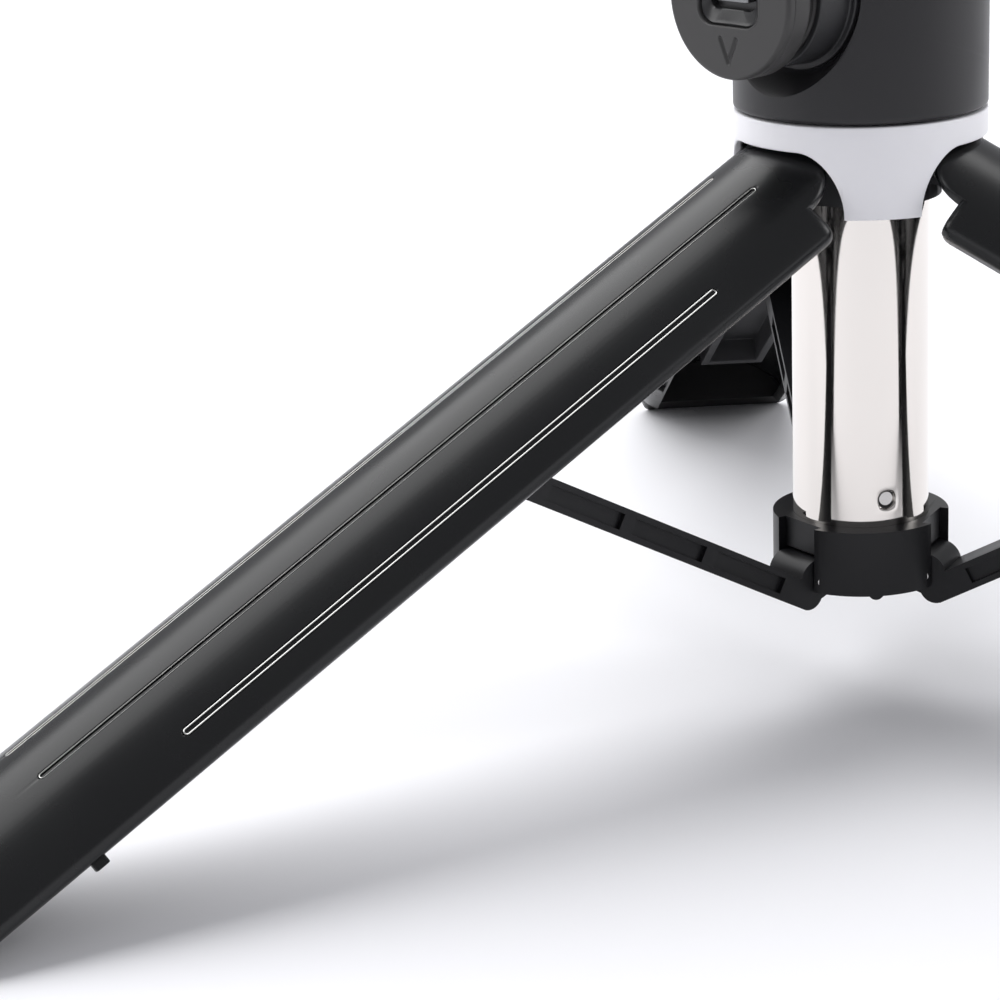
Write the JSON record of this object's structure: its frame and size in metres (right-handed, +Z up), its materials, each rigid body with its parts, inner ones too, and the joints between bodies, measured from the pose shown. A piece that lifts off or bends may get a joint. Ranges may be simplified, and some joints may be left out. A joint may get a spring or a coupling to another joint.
{
  "type": "selfie stick",
  "caption": "Pocket selfie stick whose handle splits into spreading legs braced by struts round a telescoping pole, with a head, plug-in remote and tilting phone clamp.",
  "frame": {"origin": "on the pole's axis at the height of the surface that the spread feet stand on", "axes": "+Z up the pole; the back leg points along +Y, and the phone clamp faces -Y"},
  "size_m": [0.2702, 0.2376, 0.2027],
  "materials": {
    "collar_silver": "silver-white satin",
    "black_body": "near-black satin moulding",
    "leg_trim": "glossy dark inlay",
    "foot_rubber": "satin black rubber",
    "inner_black": "matt black moulding",
    "steel": "plain steel",
    "pole_chrome": "polished",
    "strut_black": "satin black moulding",
    "head_charcoal": "satin charcoal moulding",
    "cap_silver": "silver satin",
    "nylon_white": "white nylon",
    "remote_grey": "satin dark grey",
    "port_black": "glossy black",
    "contact_metal": "plated",
    "board_green": "coated board",
    "cell_metal": "plain",
    "pad_silicone": "ribbed dark grey silicone",
    "spring_steel": "wound spring"
  },
  "bodies": {
    "handle": {"collar_shell": "collar_silver", "leg_hub": "inner_black", "hinge_pins": "steel", "pole_tube": "pole_chrome", "pole_plug": "inner_black", "plug_pin": "steel", "strut_ring": "strut_black", "strut_pins": "steel", "ring_screw": "steel", "head_housing": "head_charcoal", "head_cap": "cap_silver", "pole_guide": "inner_black", "shutter_switch": "inner_black", "remote_socket": "inner_black"},
    "left_leg": {"left_leg_shell": "black_body", "left_leg_trim": "leg_trim", "left_leg_bracket": "inner_black", "left_leg_track": "inner_black", "left_foot": "foot_rubber"},
    "left_strut_arm": {"left_strut": "strut_black", "left_strut_glide": "inner_black"},
    "right_leg": {"right_leg_shell": "black_body", "right_leg_trim": "leg_trim", "right_leg_bracket": "inner_black", "right_leg_track": "inner_black", "right_foot": "foot_rubber"},
    "right_strut_arm": {"right_strut": "strut_black", "right_strut_glide": "inner_black"},
    "back_leg": {"back_leg_shell": "black_body", "back_leg_trim": "leg_trim", "back_leg_bracket": "inner_black", "back_leg_track": "inner_black", "back_foot": "foot_rubber"},
    "back_strut_arm": {"back_strut": "strut_black", "back_strut_glide": "inner_black"},
    "pole_1": {"pole_section_1": "pole_chrome", "section_slider_1": "nylon_white"},
    "pole_2": {"pole_section_2": "pole_chrome", "section_slider_2": "nylon_white"},
    "pole_3": {"pole_section_3": "pole_chrome", "section_slider_3": "nylon_white", "clamp_yoke": "inner_black", "tilt_bolt": "steel", "tilt_nut": "inner_black"},
    "clamp": {"clamp_frame": "black_body", "lower_jaw_pad": "pad_silicone", "clamp_spring": "spring_steel"},
    "jaw": {"upper_jaw": "black_body", "upper_jaw_pad": "pad_silicone", "guide_rods": "steel"},
    "shutter": {"shutter_button": "cap_silver"},
    "remote": {"remote_shell": "remote_grey", "remote_face_cap": "remote_grey", "remote_port": "port_black", "port_tongue": "contact_metal", "remote_board": "board_green", "remote_cell": "cell_metal"}
  },
  "joints": [
    {"name": "left_leg_fold", "type": "hinge", "parent": "handle", "child": "left_leg", "pos_m": [-0.01091, -0.0063, 0.0741], "axis": [0.5, -0.866, 0], "range_deg": [0, 63]},
    {"name": "left_strut_swing", "type": "hinge", "parent": "handle", "child": "left_strut_arm", "pos_m": [-0.00918, -0.0053, 0.0176], "axis": [0.5, -0.866, 0], "range_deg": [0, 118]},
    {"name": "right_leg_fold", "type": "hinge", "parent": "handle", "child": "right_leg", "pos_m": [0.01091, -0.0063, 0.0741], "axis": [0.5, 0.866, 0], "range_deg": [0, 63]},
    {"name": "right_strut_swing", "type": "hinge", "parent": "handle", "child": "right_strut_arm", "pos_m": [0.00918, -0.0053, 0.0176], "axis": [0.5, 0.866, 0], "range_deg": [0, 118]},
    {"name": "back_leg_fold", "type": "hinge", "parent": "handle", "child": "back_leg", "pos_m": [0, 0.0126, 0.0741], "axis": [-1, 0, 0], "range_deg": [0, 63]},
    {"name": "back_strut_swing", "type": "hinge", "parent": "handle", "child": "back_strut_arm", "pos_m": [0, 0.0106, 0.0176], "axis": [-1, 0, 0], "range_deg": [0, 118]},
    {"name": "pole_slide_1", "type": "slide", "parent": "handle", "child": "pole_1", "axis": [0, 0, 1], "range_m": [0, 0.068]},
    {"name": "pole_slide_2", "type": "slide", "parent": "pole_1", "child": "pole_2", "axis": [0, 0, 1], "range_m": [0, 0.068]},
    {"name": "pole_slide_3", "type": "slide", "parent": "pole_2", "child": "pole_3", "axis": [0, 0, 1], "range_m": [0, 0.068]},
    {"name": "clamp_tilt", "type": "hinge", "parent": "pole_3", "child": "clamp", "pos_m": [0, 0, 0.1361], "axis": [1, 0, 0], "range_deg": [-90, 45]},
    {"name": "jaw_slide", "type": "slide", "parent": "clamp", "child": "jaw", "axis": [0, 0, 1], "range_m": [0, 0.03], "stiffness_N_per_m": 120, "springref_m": -0.015, "deforming": ["clamp_spring"]},
    {"name": "shutter_press", "type": "slide", "parent": "handle", "child": "shutter", "axis": [0, 1, 0], "range_m": [0, 0.0008], "stiffness_N_per_m": 800, "springref_m": -0.0008},
    {"name": "remote_pull", "type": "slide", "parent": "handle", "child": "remote", "axis": [-0.788, -0.6157, 0], "range_m": [0, 0.015]}
  ],
  "couplings": [
    {"joint": "left_strut_swing", "follows": "left_leg_fold", "ratio": 1.8586},
    {"joint": "right_strut_swing", "follows": "right_leg_fold", "ratio": 1.8586},
    {"joint": "back_strut_swing", "follows": "back_leg_fold", "ratio": 1.8586}
  ]
}
